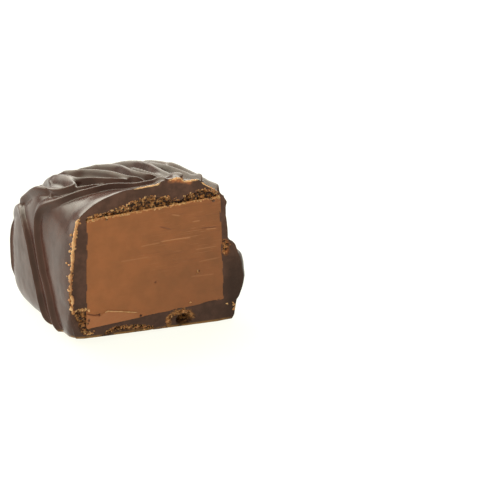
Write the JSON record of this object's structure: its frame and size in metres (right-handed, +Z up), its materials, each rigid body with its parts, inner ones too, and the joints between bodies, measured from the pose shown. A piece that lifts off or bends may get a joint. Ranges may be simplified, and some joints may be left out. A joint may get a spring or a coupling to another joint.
{
  "type": "chocolate truffle",
  "caption": "Cut half of an enrobed chocolate truffle bar: a rippled dark chocolate coating round a paler ganache filling that shows at the flat cut.",
  "frame": {"origin": "middle of the flat underside that the half rests on", "axes": "+Z up from the resting plane; the cut face looks along -Y and the closed, rounded end of the bar is at +Y; +X is to the right for a viewer who faces the cut"},
  "size_m": [0.0282, 0.0251, 0.0227],
  "materials": {
    "coating": "dark chocolate, satin, with a soft sheen on the ripples",
    "filling": "milk chocolate ganache, cut smooth, matt"
  },
  "bodies": {
    "root": {"coating": "coating", "filling": "filling"}
  },
  "joints": []
}
